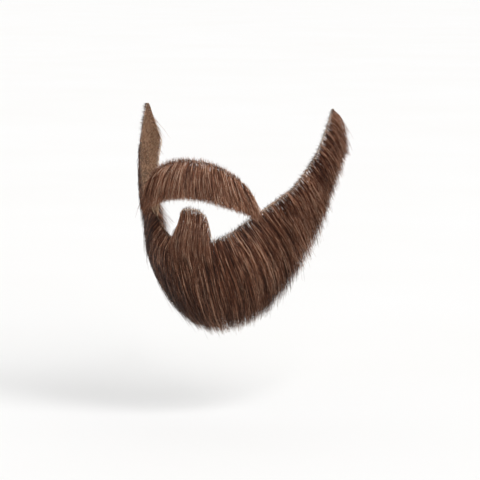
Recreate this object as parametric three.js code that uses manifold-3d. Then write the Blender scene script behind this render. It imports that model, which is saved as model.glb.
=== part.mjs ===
// A full false beard with its moustache: hair tied in a thin lace that is stuck to the lower face.
// Millimetres, +Z up. The face looks along -Y, and the wearer's left is +X.
// The origin is the middle of the upper lip, on the lace's inner face, where the piece is pressed on.
// Inside, heights are from the mouth line, and turns are degrees round an upright axis, 0 at the front.
import * as THREE from "three";
import { mergeVertices } from "three/addons/utils/BufferGeometryUtils.js";
import Module from "manifold-3d";

const wasm = await Module();
wasm.setup();

// Driving dimensions of the face that the lace fits
const axisDepth = 72; // front of the lips to the upright axis
const backReach = 110; // axis to the back of a face section
const jawRound = 12; // radius with which the skin turns in under the jaw
const jawTurn = 75; // degrees of that turn, after which the skin runs on straight
const seatHeight = 14; // mouth line to the middle of the upper lip

// Driving dimensions of the lace and the hair
const laceThickness = 1;
const laceMargin = 1; // lace that shows past the hair's roots
const columnStep = 4; // turn between two columns of the lace
const endColumn = 26; // last column, at the back edge
const cornerColumn = 9; // column of the mouth corner
const beardRows = 8;
const moustacheRows = 3;
const soulPatchRows = 5;
const cutDepth = 2; // how far the clearance for the lace reaches inside its inner face
const cutOver = 4; // and past its edges
const hairGap = 0.5; // hair's backing to lace, and hair piece to hair piece
const backingRows = 6;
const backingStep = 8; // turn between two columns of a hair backing
const backingOver = 6; // turn by which a backing passes the split before it is cut
const backingEnd = 102; // turn where the jaw's backing ends
const edgeBacking = 0.9; // a hair backing's thickness at its upper edge
const fullBacking = 3; // and from there down
const splitTurn = 40; // turn where the chin's hair meets the jaw's
const cutReach = 200; // how far the cutter for that split reaches
const cornerStep = 0.01; // corners of the hair lie on a grid this fine, so that none nearly coincide
const sunkLift = 2.2; // lace's inner face to the underside of a lock, inside its backing
const tipThick = 0.5; // half the thickness of a hanging lock at its tip
const valleyThick = 0.35; // share of a ridge's height that is left between two locks
const valleyLength = 0.86; // share of a lock's length where it parts from its neighbour
const lengthVary = 0.06; // share by which the shortest lock of a row falls behind the longest
const columnBeat = 0.37; // how fast that share changes from lock to lock
const levelBeat = 0.21; // and from row to row
const hangInward = 0.2; // how far hanging hair draws in for each millimetre that it drops
const insetDrop = 8; // drop over which a row of locks moves in behind the row above it
const shortestLock = 5; // a lock is no shorter than this
const trimStep = 0.5; // by which a lock is shortened until it ends above the trim line
const beardRootLift = 3; // lace's inner face to the middle of a beard lock at its root
const moustacheRootLift = 2.6; // and of a moustache or soul patch lock
const fullLift = 6.5; // lace's inner face to the middle of any lock at its tip
const probe = 0.5; // step to either side with which the skin's slope is taken

// Face sections: distance from the axis to the front and to the side.
const faceSections = [
  { height: -46, front: 63, side: 46 },
  { height: -30, front: 68, side: 52.5 },
  { height: -17, front: 65.5, side: 56.5 },
  { height: -6, front: 71, side: 60 },
  { height: 8, front: 73, side: 63.5 },
  { height: 24, front: 71, side: 67 },
  { height: 60, front: 72, side: 70 },
];

// Rounded form that the brush below the jaw is trimmed to: distance from the axis to its front and side.
const brushSections = [
  { height: -94, front: 32, side: 19 },
  { height: -83, front: 43, side: 31 },
  { height: -72, front: 52, side: 41 },
  { height: -62, front: 59, side: 49 },
  { height: -52, front: 65, side: 55 },
  { height: -42, front: 70.5, side: 60 },
  { height: -31, front: 76, side: 64.5 },
  { height: -20, front: 80, side: 69.5 },
  { height: -5, front: 84, side: 75 },
];

// Jaw line, where the skin starts to turn under.
const jawLine = [
  { turn: 0, height: -36 },
  { turn: 30, height: -33 },
  { turn: 60, height: -25 },
  { turn: 90, height: -14 },
  { turn: 104, height: -8 },
];

// Beard's lace: height of its upper edge, and how far its lower edge runs past the jaw line (minus is under).
const beardEdges = [
  { turn: 0, top: -29.5, bottom: -25 },
  { turn: 12, top: -28.5, bottom: -25 },
  { turn: 20, top: -25, bottom: -24 },
  { turn: 28, top: -19, bottom: -22 },
  { turn: 36, top: -12.5, bottom: -20 },
  { turn: 44, top: -6, bottom: -17 },
  { turn: 52, top: -0.5, bottom: -13 },
  { turn: 60, top: 5, bottom: -10 },
  { turn: 66, top: 12, bottom: -7 },
  { turn: 74, top: 23, bottom: -3 },
  { turn: 80, top: 33, bottom: 0 },
  { turn: 86, top: 46, bottom: 6 },
  { turn: 92, top: 56, bottom: 15 },
  { turn: 98, top: 43, bottom: 26 },
  { turn: 104, top: 29, bottom: 35 },
];

// Soul patch: height of its upper edge.
const soulPatchEdges = [
  { turn: 0, top: -7.5 },
  { turn: 4, top: -8 },
  { turn: 8, top: -12 },
];

// Moustache's lace: heights of its edges.
const moustacheEdges = [
  { turn: 0, top: 24.5, bottom: 5 },
  { turn: 8, top: 23.5, bottom: 4.5 },
  { turn: 16, top: 20.5, bottom: 2.5 },
  { turn: 24, top: 15, bottom: -1.5 },
  { turn: 32, top: 6, bottom: -8 },
  { turn: 36, top: -1, bottom: -12.5 },
];

// How hair leans from upright towards the back.
const beardLean = [
  { turn: 0, lean: 0 },
  { turn: 25, lean: 15 },
  { turn: 50, lean: 27 },
  { turn: 75, lean: 35 },
  { turn: 104, lean: 36 },
];
const moustacheLean = [
  { turn: 0, lean: 2 },
  { turn: 16, lean: 12 },
  { turn: 36, lean: 26 },
];

// Height where hair is trimmed off.
const beardTrim = [
  { turn: 0, height: -92 },
  { turn: 18, height: -93 },
  { turn: 36, height: -92 },
  { turn: 53, height: -85.5 },
  { turn: 66, height: -69.5 },
  { turn: 75, height: -54.5 },
  { turn: 80, height: -46 },
  { turn: 89, height: -30 },
  { turn: 93, height: -18 },
  { turn: 97, height: -7 },
  { turn: 104, height: 5 },
];
const moustacheTrim = [
  { turn: 0, height: -0.5 },
  { turn: 10, height: -2 },
  { turn: 20, height: -6 },
  { turn: 28, height: -9.5 },
  { turn: 36, height: -12 },
];
const soulPatchTrim = [
  { turn: 0, height: -29 },
  { turn: 12, height: -28 },
];

// Rows of locks: where they grow from the upper edge (0) to the lower (1), in how many steps they bend,
// how long they are, how high their ridges stand and, where they hang, how deep they are behind their middle
// line and how far inside the row above that line keeps.
const chinLocks = [
  { share: 0.08, from: -43, to: 43, count: 9, steps: 3, length: 38, ridge: 1.2, deep: 6, inset: 0 },
  { share: 0.3, from: -43, to: 43, count: 8, steps: 4, length: 52, ridge: 1.5, deep: 8, inset: 2.5 },
  { share: 0.5, from: -42, to: 42, count: 9, steps: 4, length: 64, ridge: 1.8, deep: 9, inset: 5 },
  { share: 0.9, from: -38, to: 38, count: 7, steps: 3, length: 64, ridge: 5, deep: 3, inset: 8 },
];
const jawLocks = [
  { share: 0.05, from: 36, to: 98, count: 8, steps: 2, length: 24, ridge: 1.1, deep: 2, inset: 0 },
  { share: 0.28, from: 34, to: 99, count: 8, steps: 2, length: 30, ridge: 1.2, deep: 3, inset: 0 },
  { share: 0.52, from: 30, to: 98, count: 8, steps: 3, length: 46, ridge: 1.3, deep: 4, inset: 1.5 },
  { share: 0.78, from: 20, to: 96, count: 9, steps: 4, length: 68, ridge: 1.5, deep: 4, inset: 3.5 },
];
const moustacheLocks = [
  { share: 0.1, from: -33, to: 33, count: 11, steps: 2, length: 17, ridge: 1.2, deep: 2, inset: 0 },
  { share: 0.5, from: -34, to: 34, count: 10, steps: 2, length: 16, ridge: 1.4, deep: 2, inset: 0 },
];
const soulPatchLocks = [
  { share: 0.1, from: -6, to: 6, count: 3, steps: 2, length: 15, ridge: 1.1, deep: 2, inset: 0 },
  { share: 0.5, from: -8, to: 8, count: 4, steps: 2, length: 12, ridge: 1.3, deep: 2, inset: 0 },
];

const laceMaterial = new THREE.MeshStandardMaterial({ color: 0xcdb08c, roughness: 0.85, metalness: 0 });
const moustacheMaterial = new THREE.MeshStandardMaterial({ color: 0x6c4f3e, roughness: 0.5, metalness: 0 });
const beardMaterial = new THREE.MeshStandardMaterial({ color: 0x4b3428, roughness: 0.5, metalness: 0 });

const radians = THREE.MathUtils.degToRad;
const degrees = THREE.MathUtils.radToDeg;

// A column's value between the rows of a table, on a smooth curve that stays between them.
function between(rows, key, column, at) {
  const last = rows.length - 1;
  if (at <= rows[0][key]) return rows[0][column];
  if (at >= rows[last][key]) return rows[last][column];
  const row = rows.findIndex((each) => each[key] > at) - 1;
  const slope = (k) => (rows[k + 1][column] - rows[k][column]) / (rows[k + 1][key] - rows[k][key]);
  const tangent = (k) => {
    if (k === 0) return slope(0);
    if (k === last) return slope(last - 1);
    const product = slope(k - 1) * slope(k);
    return product <= 0 ? 0 : (2 * product) / (slope(k - 1) + slope(k));
  };
  const span = rows[row + 1][key] - rows[row][key];
  const t = (at - rows[row][key]) / span;
  const rise = rows[row + 1][column] - rows[row][column];
  const ease = t * t * (3 - 2 * t);
  const leave = t * (1 - t) * (1 - t) * span * tangent(row);
  const arrive = t * t * (1 - t) * span * tangent(row + 1);
  return rows[row][column] + rise * ease + leave - arrive;
}

function jawHeight(turn) {
  return between(jawLine, "turn", "height", Math.abs(turn));
}

// Radius of a table's section at a turn and a height.
function ellipseRadius(sections, turn, height) {
  const cosine = Math.cos(radians(turn));
  const front = cosine > 0 ? between(sections, "height", "front", height) : backReach;
  const side = between(sections, "height", "side", height);
  return 1 / Math.hypot(Math.sin(radians(turn)) / side, cosine / front);
}

function sectionRadius(turn, height) {
  return ellipseRadius(faceSections, turn, height);
}

function polarPoint(radius, turn, height) {
  const x = radius * Math.sin(radians(turn));
  return new THREE.Vector3(x, axisDepth - radius * Math.cos(radians(turn)), height);
}

function radiusOf(point) {
  return Math.hypot(point.x, axisDepth - point.y);
}

function turnOf(point) {
  return degrees(Math.atan2(point.x, axisDepth - point.y));
}

// A point of the face's skin, by its turn and its run above the jaw line (minus is under the jaw).
function skin(turn, run) {
  const jaw = jawHeight(turn);
  const bend = THREE.MathUtils.clamp(-run / jawRound, 0, radians(jawTurn));
  const straight = Math.max(-run - bend * jawRound, 0);
  const inward = jawRound * (1 - Math.cos(bend)) + straight * Math.sin(bend);
  const drop = jawRound * Math.sin(bend) + straight * Math.cos(bend);
  const height = jaw + Math.max(run, 0) - drop;
  const radius = sectionRadius(turn, Math.max(height, jaw)) - inward;
  return polarPoint(radius, turn, height);
}

function outwardAt(turn, run) {
  const across = skin(turn + probe, run).sub(skin(turn - probe, run));
  const up = skin(turn, run + probe).sub(skin(turn, run - probe));
  return across.cross(up).normalize();
}

function offSkin(turn, run, lift) {
  return skin(turn, run).addScaledVector(outwardAt(turn, run), lift);
}

// Upper and lower edge of each region, as runs from the jaw line.
function beardRegion(turn) {
  const top = between(beardEdges, "turn", "top", Math.abs(turn)) - jawHeight(turn);
  return { top, bottom: between(beardEdges, "turn", "bottom", Math.abs(turn)) };
}

function moustacheRegion(turn) {
  const edge = (column) => between(moustacheEdges, "turn", column, Math.abs(turn)) - jawHeight(turn);
  return { top: edge("top"), bottom: edge("bottom") };
}

function soulPatchRegion(turn) {
  const top = between(soulPatchEdges, "turn", "top", Math.abs(turn)) - jawHeight(turn);
  return { top, bottom: beardRegion(turn).top };
}

function lerpRun(region, share) {
  return THREE.MathUtils.lerp(region.top, region.bottom, share);
}

// A closed sheet over four-cornered cells. Each corner's key has an inner and an outer place.
function sheetGeometry(cells, places) {
  const keys = [...places.keys()];
  const positions = keys.flatMap((key) => [...places.get(key).inner, ...places.get(key).outer]);
  const inner = (key) => 2 * keys.indexOf(key);
  const outer = (key) => inner(key) + 1;
  const faces = [];
  const edges = new Map();
  for (const cell of cells) {
    const corners = cell.filter((key, k) => key !== cell[(k + 1) % cell.length]);
    for (let k = 1; k < corners.length - 1; k += 1) {
      const [a, b, c] = [corners[0], corners[k], corners[k + 1]];
      faces.push(outer(a), outer(b), outer(c), inner(a), inner(c), inner(b));
    }
    corners.forEach((key, k) => {
      const next = corners[(k + 1) % corners.length];
      edges.set(`${key} ${next}`, [key, next]);
    });
  }
  for (const [a, b] of edges.values()) {
    if (edges.has(`${b} ${a}`)) continue;
    faces.push(outer(b), outer(a), inner(a), outer(b), inner(a), inner(b));
  }
  const geometry = new THREE.BufferGeometry();
  geometry.setAttribute("position", new THREE.Float32BufferAttribute(positions, 3));
  geometry.setIndex(faces);
  return geometry;
}

// Cells between columns and rows, seen from outside with the first row on top.
function gridCells(columns, rows, keyOf) {
  const cells = [];
  for (let i = 1; i < columns.length; i += 1) {
    for (let j = 1; j < rows.length; j += 1) {
      const [left, right] = [columns[i - 1], columns[i]];
      const [upper, lower] = [rows[j - 1], rows[j]];
      cells.push([keyOf(left, lower), keyOf(right, lower), keyOf(right, upper), keyOf(left, upper)]);
    }
  }
  return cells;
}

// Evenly spread values from the first to the last, about a step apart.
function spread(first, last, step) {
  const count = Math.round((last - first) / step);
  return Array.from({ length: count + 1 }, (_, k) => first + k * ((last - first) / count));
}

// The lace's corners, by column and row, at two lifts. A row past an edge lies in the clearance around it.
function laceCorners(innerLift, outerLift) {
  const places = new Map();
  const keyOf = (name, column, row, rows, region) => {
    const turn = column * columnStep;
    const past = row < 0 ? cutOver : row > rows ? -cutOver : 0;
    const run = lerpRun(region, THREE.MathUtils.clamp(row / rows, 0, 1)) + past;
    const key = `${name} ${column} ${row}`;
    places.set(key, { inner: offSkin(turn, run, innerLift), outer: offSkin(turn, run, outerLift) });
    return key;
  };
  const beardKey = (column, row) => {
    const turn = column * columnStep;
    const onPatch = Math.abs(turn) <= soulPatchEdges.at(-1).turn;
    const region = { ...beardRegion(turn), ...(onPatch && { top: soulPatchRegion(turn).top }) };
    return keyOf("beard", column, row, beardRows, region);
  };
  const moustacheKey = (column, row) => {
    return keyOf("moustache", column, row, moustacheRows, moustacheRegion(column * columnStep));
  };
  return { places, beardKey, moustacheKey };
}

// One sheet of lace: the beard with its soul patch, and the moustache, which meets it at the mouth corners.
function laceGeometry() {
  const { places, beardKey, moustacheKey } = laceCorners(0, laceThickness);
  const joinedKey = (column, row) => {
    const past = Math.abs(column) > cornerColumn;
    const onCorner = Math.abs(column) === cornerColumn && row === moustacheRows;
    return past || onCorner ? beardKey(column, 0) : moustacheKey(column, row);
  };
  const cells = [
    ...gridCells(spread(-endColumn, endColumn, 1), spread(0, beardRows, 1), beardKey),
    ...gridCells(spread(-cornerColumn - 1, cornerColumn + 1, 1), spread(0, moustacheRows, 1), joinedKey),
  ];
  return sheetGeometry(cells, places);
}

// The room that hair leaves for the lace and the gap over it, a little wider than the lace.
function beardClearance() {
  const { places, beardKey } = laceCorners(-cutDepth, laceThickness + hairGap);
  const columns = spread(-endColumn - 1, endColumn + 1, 1);
  return sheetGeometry(gridCells(columns, spread(-1, beardRows + 1, 1), beardKey), places);
}

function moustacheClearance() {
  const { places, moustacheKey } = laceCorners(-cutDepth, laceThickness + hairGap);
  const columns = spread(-cornerColumn - 1, cornerColumn + 1, 1);
  return sheetGeometry(gridCells(columns, spread(-1, moustacheRows + 1, 1), moustacheKey), places);
}

// The backing that a field of hair grows from, before the lace's clearance is cut out of it.
function backingGeometry(turns, rows, regionOf) {
  const places = new Map();
  const keyOf = (turn, row) => {
    const region = regionOf(turn);
    const inset = { top: region.top - laceMargin, bottom: region.bottom + laceMargin };
    const run = lerpRun(inset, row / rows);
    const lift = laceThickness + hairGap + (row === 0 ? edgeBacking : fullBacking);
    const key = `${turn} ${row}`;
    places.set(key, { inner: skin(turn, run), outer: offSkin(turn, run, lift) });
    return key;
  };
  return sheetGeometry(gridCells(turns, spread(0, rows, 1), keyOf), places);
}

// The way hair takes from its root: along the skin with its lean, then hanging free below the jaw, drawn in
// under the brush's rounded form, down to the trim line. The function that comes back gives the point at a
// share of the way, for a middle line that is lifted off the skin: where the hair lies the point has its own
// lift, and where it hangs it stands out from the middle line.
function strandOf(turn, run, row, style) {
  const back = Math.sign(turn);
  const lean = radians(between(style.lean, "turn", "lean", Math.abs(turn)));
  const rootRadius = sectionRadius(turn, jawHeight(turn) + Math.max(run, 0));
  const onSkin = Math.max(run, 0) / Math.cos(lean);
  const place = (gone, middle, lift, stand) => {
    const lying = Math.min(gone, onSkin);
    const hanging = gone - lying;
    const here = turn + (back * degrees(lying * Math.sin(lean))) / rootRadius;
    const under = run > 0 ? run - lying * Math.cos(lean) : run;
    if (hanging === 0) return offSkin(here, under, lift);
    const point = offSkin(here, under, middle);
    const height = point.z - hanging;
    const around = turnOf(point) + (back * degrees(hanging * Math.tan(lean))) / rootRadius;
    const inset = row.inset * Math.min(hanging / insetDrop, 1);
    const free = radiusOf(point) - hanging * hangInward;
    const drawnIn = Math.min(free, ellipseRadius(brushSections, around, height));
    return polarPoint(drawnIn - inset + stand, around, height);
  };
  const trimmed = (gone) => {
    const tip = place(gone, fullLift, fullLift, 0);
    return tip.z < between(style.trim, "turn", "height", Math.abs(turnOf(tip)));
  };
  let cut = row.length;
  while (cut > shortestLock && trimmed(cut)) cut -= trimStep;
  return (share, middle, lift, stand) => place(cut * share, middle, lift, stand);
}

// A lock's share of its row's length, a little different from one to the next.
function ridgeLength(column, level) {
  return 1 - lengthVary * THREE.MathUtils.pingpong(column * columnBeat + level * levelBeat, 1);
}

// A row of locks: a strip with a ridge along each lock, parted into points at its lower edge.
function lockRow(row, level, style, side) {
  const places = new Map();
  const columns = spread(0, 2 * row.count, 1);
  const [from, to] = side > 0 ? [row.from, row.to] : [-row.to, -row.from];
  const keyOf = (column, step) => {
    const onRidge = column % 2 === 1;
    const turn = THREE.MathUtils.lerp(from, to, column / (2 * row.count));
    const strand = strandOf(turn, lerpRun(style.regionOf(turn), row.share), row, style);
    const share = (step / row.steps) * (onRidge ? ridgeLength(column, level) : valleyLength);
    const lift = THREE.MathUtils.lerp(style.rootLift, fullLift, share);
    const ridge = row.ridge * (onRidge ? 1 : valleyThick);
    const atTip = step === row.steps;
    const inner = strand(share, lift, sunkLift, atTip ? -tipThick : -row.deep);
    const outer = strand(share, lift, atTip ? lift : lift + ridge, atTip ? tipThick : ridge);
    const key = `${column} ${step}`;
    places.set(key, { inner, outer });
    return key;
  };
  return sheetGeometry(gridCells(columns, spread(0, row.steps, 1), keyOf), places);
}

function locksOf(rows, style, side) {
  return rows.map((row, level) => lockRow(row, level, style, side));
}

function solidOf(geometry) {
  const merged = mergeVertices(geometry, cornerStep / 2);
  const vertProperties = merged.attributes.position.array;
  return new wasm.Manifold(new wasm.Mesh({ numProp: 3, vertProperties, triVerts: merged.index.array }));
}

// The main body of a joined solid, without the small pockets that are sealed in between locks.
function mainBody(solid) {
  return solid.decompose().sort((a, b) => b.volume() - a.volume())[0];
}

function hairGeometry(solid) {
  const merged = solidOf(geometryOf(mainBody(solid)));
  return geometryOf(mainBody(merged));
}

// Rows of locks joined to the backing that they grow from, and cut clear of the lace.
function fuse(locks, backing, clearance) {
  const whole = locks.map(solidOf).reduce((joined, each) => joined.add(each), solidOf(backing));
  return whole.subtract(solidOf(clearance));
}

function geometryOf(solid) {
  const mesh = solid.getMesh();
  const positions = mesh.vertProperties.map((value) => Math.round(value / cornerStep) * cornerStep);
  const geometry = new THREE.BufferGeometry();
  geometry.setAttribute("position", new THREE.BufferAttribute(positions, 3));
  geometry.setIndex(new THREE.BufferAttribute(mesh.triVerts, 1));
  return geometry;
}

// An upright wedge from the axis forwards, between the two planes where the chin's hair meets the jaw's.
function splitWedge(widen) {
  const apex = axisDepth + widen / Math.sin(radians(splitTurn));
  const x = cutReach * Math.sin(radians(splitTurn));
  const y = apex - cutReach * Math.cos(radians(splitTurn));
  const corners = [new THREE.Vector2(0, apex), new THREE.Vector2(-x, y), new THREE.Vector2(x, y)];
  const outline = new THREE.Shape(corners);
  const wedge = new THREE.ExtrudeGeometry(outline, { depth: 2 * cutReach, bevelEnabled: false });
  wedge.translate(0, 0, -cutReach);
  wedge.deleteAttribute("normal");
  wedge.deleteAttribute("uv");
  return wedge;
}

const beardStyle = { lean: beardLean, trim: beardTrim, regionOf: beardRegion, rootLift: beardRootLift };
const moustacheStyle = {
  lean: moustacheLean,
  trim: moustacheTrim,
  regionOf: moustacheRegion,
  rootLift: moustacheRootLift,
};
const soulPatchStyle = {
  lean: beardLean,
  trim: soulPatchTrim,
  regionOf: soulPatchRegion,
  rootLift: moustacheRootLift,
};

function moustacheHair() {
  const last = (cornerColumn - 1) * columnStep;
  const backing = backingGeometry(spread(-last, last, columnStep), moustacheRows, moustacheRegion);
  return fuse(locksOf(moustacheLocks, moustacheStyle, 1), backing, moustacheClearance());
}

function soulPatchHair() {
  const last = soulPatchEdges.at(-1).turn;
  const backing = backingGeometry(spread(-last, last, columnStep), soulPatchRows, soulPatchRegion);
  return fuse(locksOf(soulPatchLocks, soulPatchStyle, 1), backing, beardClearance());
}

function chinHair() {
  const last = splitTurn + backingOver;
  const backing = backingGeometry(spread(-last, last, backingStep), backingRows, beardRegion);
  const whole = fuse(locksOf(chinLocks, beardStyle, 1), backing, beardClearance());
  return whole.intersect(solidOf(splitWedge(-hairGap / 2)));
}

function jawHair(side) {
  const first = splitTurn - backingOver;
  const [from, to] = side > 0 ? [first, backingEnd] : [-backingEnd, -first];
  const backing = backingGeometry(spread(from, to, backingStep), backingRows, beardRegion);
  const whole = fuse(locksOf(jawLocks, beardStyle, side), backing, beardClearance());
  return whole.subtract(solidOf(splitWedge(hairGap / 2)));
}

const face = new THREE.Group();
const seat = skin(0, seatHeight - jawHeight(0));
face.position.set(-seat.x, -seat.y, -seat.z);

function addPiece(name, geometry, material) {
  geometry.computeVertexNormals();
  const mesh = new THREE.Mesh(geometry, material);
  mesh.name = name;
  face.add(mesh);
}

addPiece("lace_base", laceGeometry(), laceMaterial);
addPiece("moustache_hair", hairGeometry(moustacheHair()), moustacheMaterial);
addPiece("soul_patch_hair", hairGeometry(soulPatchHair()), moustacheMaterial);
addPiece("chin_hair", hairGeometry(chinHair()), beardMaterial);
addPiece("jaw_hair_left", hairGeometry(jawHair(1)), beardMaterial);
addPiece("jaw_hair_right", hairGeometry(jawHair(-1)), beardMaterial);

const beard = new THREE.Group();
beard.add(face);

export default beard;
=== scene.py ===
# False beard with its moustache: hair tied in a thin lace, combed strand by strand.
import math
import bpy
import numpy as np
from mathutils import Matrix, Vector
from mathutils.kdtree import KDTree


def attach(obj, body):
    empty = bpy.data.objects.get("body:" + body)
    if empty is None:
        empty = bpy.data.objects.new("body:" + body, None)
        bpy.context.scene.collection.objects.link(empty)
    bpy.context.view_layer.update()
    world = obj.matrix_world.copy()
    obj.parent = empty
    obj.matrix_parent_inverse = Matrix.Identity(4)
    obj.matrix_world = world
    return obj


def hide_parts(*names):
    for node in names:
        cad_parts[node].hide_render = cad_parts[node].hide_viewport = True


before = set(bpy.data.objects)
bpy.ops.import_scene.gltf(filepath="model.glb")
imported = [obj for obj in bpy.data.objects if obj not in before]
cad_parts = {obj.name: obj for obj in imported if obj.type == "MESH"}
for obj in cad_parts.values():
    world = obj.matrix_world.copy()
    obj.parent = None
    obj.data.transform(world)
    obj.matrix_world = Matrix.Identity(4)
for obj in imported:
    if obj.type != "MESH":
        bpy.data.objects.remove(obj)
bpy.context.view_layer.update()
print("frame loaded with", len(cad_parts), "solids")


# The form that the lace takes when it is worn. Lengths are in millimetres, here and in the tables for hair
# and lace, heights from the middle of the mouth opening, turns in degrees round an upright axis.
wornForm = {
    "axisDepth": 72,
    "backReach": 110,
    "jawRound": 12,
    "jawTurn": 75,
    "seatHeight": 14,
    # height, front, side
    "sections": [(-46, 63, 46), (-30, 68, 52.5), (-17, 65.5, 56.5), (-6, 71, 60), (8, 73, 63.5),
                 (24, 71, 67), (60, 72, 70)],
    # the rounded form of the hanging brush: height, front, side
    "brush": [(-94, 35, 23), (-83, 46.5, 35.5), (-72, 54.5, 44), (-62, 60.5, 51), (-52, 65, 55),
              (-42, 70.5, 60), (-31, 76, 64.5), (-20, 80, 69.5), (-5, 84, 75)],
    # turn, height
    "jawLine": [(0, -36), (30, -33), (60, -25), (90, -14), (104, -8)],
    # how far to either side a slope is taken
    "slopeReach": 0.5,
}

# Edges of the lace: turn, upper height, and the lower edge as a run under the jaw line or as a height.
laceForm = {
    "beard": [(0, -29.5, -25), (12, -28.5, -25), (20, -25, -24), (28, -19, -22), (36, -12.5, -20),
              (44, -6, -17), (52, -0.5, -13), (60, 5, -10), (66, 12, -7), (74, 23, -3), (80, 33, 0),
              (86, 46, 6), (92, 56, 15), (98, 43, 26), (104, 29, 35)],
    "soulPatch": [(0, -7.5), (4, -8), (8, -12)],
    "moustache": [(0, 24.5, 5), (8, 23.5, 4.5), (16, 20.5, 2.5), (24, 15, -1.5), (32, 6, -8),
                  (36, -1, -12.5)],
    "patchBrow": 8,
    "patchFoot": 12,
    "mouthCorner": 36,
    "moustacheEnd": 40,
    "beardEnd": 104,
}


def between(rows, column, at):
    # a smooth curve through a table's rows that never leaves their range
    table = np.asarray(rows, float)
    xs, ys = table[:, 0], table[:, column]
    at = np.clip(np.asarray(at, float), xs[0], xs[-1])
    slopes = np.diff(ys) / np.diff(xs)
    product = slopes[:-1] * slopes[1:]
    total = np.where(product > 0, slopes[:-1] + slopes[1:], 1)
    tangents = np.concatenate([slopes[:1], np.where(product > 0, 2 * product / total, 0), slopes[-1:]])
    k = np.clip(np.searchsorted(xs, at, side="right") - 1, 0, len(xs) - 2)
    span = xs[k + 1] - xs[k]
    t = (at - xs[k]) / span
    bend = t * (1 - t) ** 2 * tangents[k] - t * t * (1 - t) * tangents[k + 1]
    return ys[k] + (ys[k + 1] - ys[k]) * t * t * (3 - 2 * t) + span * bend


def jawHeight(turn):
    return between(wornForm["jawLine"], 1, np.abs(turn))


def sectionRadius(sections, turn, height):
    cosine = np.cos(np.radians(turn))
    front = np.where(cosine > 0, between(sections, 1, height), wornForm["backReach"])
    return 1 / np.hypot(np.sin(np.radians(turn)) / between(sections, 2, height), cosine / front)


def polarPoint(radius, turn, height):
    angle = np.radians(turn)
    sideways = radius * np.sin(angle)
    depth = wornForm["axisDepth"] - radius * np.cos(angle)
    return np.stack(np.broadcast_arrays(sideways, depth, height), -1)


def turnOf(point):
    return np.degrees(np.arctan2(point[..., 0], wornForm["axisDepth"] - point[..., 1]))


def radiusOf(point):
    return np.hypot(point[..., 0], wornForm["axisDepth"] - point[..., 1])


def wornPoint(turn, run):
    # a run is a way up from the jaw line, and minus turns in under the jaw
    jaw, roundness = jawHeight(turn), wornForm["jawRound"]
    bend = np.clip(-run / roundness, 0, math.radians(wornForm["jawTurn"]))
    straight = np.maximum(-run - bend * roundness, 0)
    inward = roundness * (1 - np.cos(bend)) + straight * np.sin(bend)
    height = jaw + np.maximum(run, 0) - roundness * np.sin(bend) - straight * np.cos(bend)
    radius = sectionRadius(wornForm["sections"], turn, np.maximum(height, jaw)) - inward
    return polarPoint(radius, turn, height)


def underJaw(turn, height):
    # radius of the lace's inner side below the jaw line, where it rounds in
    jaw = jawHeight(turn)
    roundness, fullBend = wornForm["jawRound"], math.radians(wornForm["jawTurn"])
    drop = np.maximum(jaw - height, 0)
    bend = np.arcsin(np.clip(drop / roundness, 0, math.sin(fullBend)))
    straight = np.maximum(drop - roundness * math.sin(fullBend), 0) / math.cos(fullBend)
    atJaw = sectionRadius(wornForm["sections"], turn, jaw)
    return atJaw - roundness * (1 - np.cos(bend)) - straight * math.sin(fullBend)


def liftedPoint(turn, run, lift):
    # a point that stands off the lace's inner side
    turn, run = np.broadcast_arrays(np.asarray(turn, float), np.asarray(run, float))
    reach = wornForm["slopeReach"]
    across = wornPoint(turn + reach, run) - wornPoint(turn - reach, run)
    up = wornPoint(turn, run + reach) - wornPoint(turn, run - reach)
    outward = np.cross(across, up)
    outward /= np.linalg.norm(outward, axis=-1, keepdims=True)
    return wornPoint(turn, run) + outward * np.asarray(lift)[..., None]


seat = wornPoint(np.array(0.0), np.array(wornForm["seatHeight"] - float(jawHeight(0))))


def toMetres(points):
    return (points - seat) / 1000


def beardRegion(turn):
    side = np.abs(turn)
    return between(laceForm["beard"], 1, side) - jawHeight(turn), between(laceForm["beard"], 2, side)


def moustacheRegion(turn):
    jaw = jawHeight(turn)
    return tuple(between(laceForm["moustache"], column, np.abs(turn)) - jaw for column in (1, 2))


def soulPatchRegion(turn):
    # the patch's sides slope out to its foot, where it meets the beard
    side = np.abs(turn)
    brow, foot = laceForm["patchBrow"], laceForm["patchFoot"]
    low = beardRegion(turn)[0]
    high = between(laceForm["soulPatch"], 1, np.minimum(side, brow)) - jawHeight(turn)
    return low + (high - low) * np.clip((foot - side) / (foot - brow), 0, 1), low


def toLinear(hexColour):
    parts = [int(hexColour[k:k + 2], 16) / 255 for k in (0, 2, 4)]
    return tuple(p / 12.92 if p <= 0.04045 else ((p + 0.055) / 1.055) ** 2.4 for p in parts) + (1.0,)


def addNode(tree, kind, settings=None, links=None, out=0):
    # one node with its settings and its links, given back as the output that the next node takes
    node = tree.nodes.new(kind)
    for key, value in (settings or {}).items():
        setattr(node, key, value)
    for key, value in (links or {}).items():
        if isinstance(value, bpy.types.NodeSocket):
            tree.links.new(value, node.inputs[key])
        else:
            node.inputs[key].default_value = value
    return node.outputs[out] if len(node.outputs) else node


# settings that many nodes share
plus = {"operation": "ADD"}
minus = {"operation": "SUBTRACT"}
times = {"operation": "MULTIPLY"}
timesPlus = {"operation": "MULTIPLY_ADD"}
power = {"operation": "POWER"}
scaled = {"operation": "SCALE"}
numbers = {"data_type": "FLOAT"}
vectors = {"data_type": "FLOAT_VECTOR"}
numberOnPoints = {"data_type": "FLOAT", "domain": "POINT"}
mapOnCorners = {"data_type": "FLOAT2", "domain": "CORNER"}
colours = {"data_type": "RGBA"}
coloursTimes = {"data_type": "RGBA", "blend_type": "MULTIPLY"}
onMap = {"noise_dimensions": "2D"}
smoothly = {"interpolation_type": "SMOOTHSTEP"}


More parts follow.
